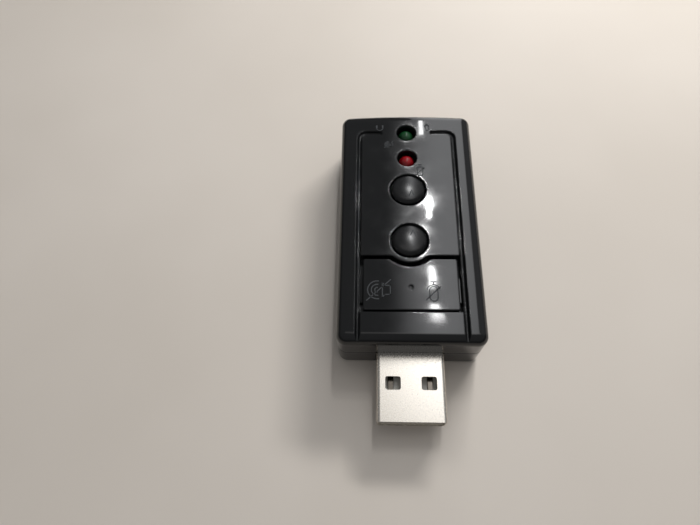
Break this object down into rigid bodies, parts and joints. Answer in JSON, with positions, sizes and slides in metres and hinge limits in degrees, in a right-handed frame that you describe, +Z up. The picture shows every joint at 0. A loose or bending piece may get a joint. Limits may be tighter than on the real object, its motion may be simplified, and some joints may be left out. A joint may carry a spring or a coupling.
{
  "type": "usb sound card",
  "caption": "Stick-sized USB sound adapter: moulded case with a USB-A plug, headphone and microphone jacks, round volume buttons, a rocking mute plate and status LEDs.",
  "frame": {"origin": "on the surface it rests on, under the middle of the overall length and width", "axes": "+X to the right with the plug towards the viewer, +Y from the plug to the jacks, +Z up"},
  "size_m": [0.0262, 0.061, 0.0132],
  "materials": {
    "black_gloss_case": "polished moulded ABS",
    "black_satin_button": "satin moulded ABS",
    "nickel_plated_shell": "nickel plated stamped sheet",
    "white_insulator": "moulded nylon",
    "gold_plated_contact": "gold flash on copper alloy",
    "green_board": "solder mask on glass laminate",
    "black_switch": "moulded nylon",
    "tinned_steel": "tin plated",
    "chip_epoxy": "moulded epoxy",
    "can_aluminium": "drawn can",
    "chip_ceramic": "fired ceramic",
    "green_lens": "diffused epoxy lens",
    "red_lens": "diffused epoxy lens",
    "green_jack": "moulded nylon",
    "pink_jack": "moulded nylon"
  },
  "bodies": {
    "case": {"upper_case": "black_gloss_case", "lower_case": "black_gloss_case", "usb_shell": "nickel_plated_shell", "usb_insulator": "white_insulator", "usb_contact_power": "gold_plated_contact", "usb_contact_data_minus": "gold_plated_contact", "usb_contact_data_plus": "gold_plated_contact", "usb_contact_ground": "gold_plated_contact", "circuit_board": "green_board", "volume_up_switch_base": "black_switch", "volume_down_switch_base": "black_switch", "speaker_mute_switch_base": "black_switch", "microphone_mute_switch_base": "black_switch", "volume_up_switch_cover": "tinned_steel", "volume_down_switch_cover": "tinned_steel", "speaker_mute_switch_cover": "tinned_steel", "microphone_mute_switch_cover": "tinned_steel", "switch_legs": "tinned_steel", "green_led_leads": "tinned_steel", "red_led_leads": "tinned_steel", "headphone_jack_springs": "tinned_steel", "microphone_jack_springs": "tinned_steel", "audio_chip_leads": "tinned_steel", "crystal": "tinned_steel", "audio_chip": "chip_epoxy", "supply_capacitor_1": "can_aluminium", "supply_capacitor_2": "can_aluminium", "chip_capacitors": "chip_ceramic", "chip_resistors": "chip_ceramic", "green_led": "green_lens", "red_led": "red_lens", "headphone_jack_housing": "green_jack", "microphone_jack_housing": "pink_jack"},
    "volume_up": {"volume_up_button": "black_satin_button", "volume_up_switch_plunger": "black_switch"},
    "volume_down": {"volume_down_button": "black_satin_button", "volume_down_switch_plunger": "black_switch"},
    "mute": {"mute_rocker": "black_gloss_case"},
    "speaker_mute_plunger": {"speaker_mute_switch_plunger": "black_switch"},
    "microphone_mute_plunger": {"microphone_mute_switch_plunger": "black_switch"}
  },
  "joints": [
    {"name": "volume_up_press", "type": "slide", "parent": "case", "child": "volume_up", "axis": [0, 0, -1], "range_m": [0, 0.00025], "stiffness_N_per_m": 1000, "springref_m": -0.0002},
    {"name": "volume_down_press", "type": "slide", "parent": "case", "child": "volume_down", "axis": [0, 0, -1], "range_m": [0, 0.00025], "stiffness_N_per_m": 1000, "springref_m": -0.0002},
    {"name": "mute_rock", "type": "hinge", "parent": "case", "child": "mute", "pos_m": [0, -0.0083, 0.0105], "axis": [0, 1, 0], "range_deg": [-2, 2], "stiffness_Nm_per_rad": 0.1},
    {"name": "speaker_mute_travel", "type": "slide", "parent": "case", "child": "speaker_mute_plunger", "axis": [0, 0, -1], "range_m": [-0.0003, 0.0003]},
    {"name": "microphone_mute_travel", "type": "slide", "parent": "case", "child": "microphone_mute_plunger", "axis": [0, 0, -1], "range_m": [-0.0003, 0.0003]}
  ],
  "couplings": [
    {"joint": "speaker_mute_travel", "follows": "mute_rock", "m_per_rad": -0.006},
    {"joint": "microphone_mute_travel", "follows": "mute_rock", "m_per_rad": 0.006}
  ]
}
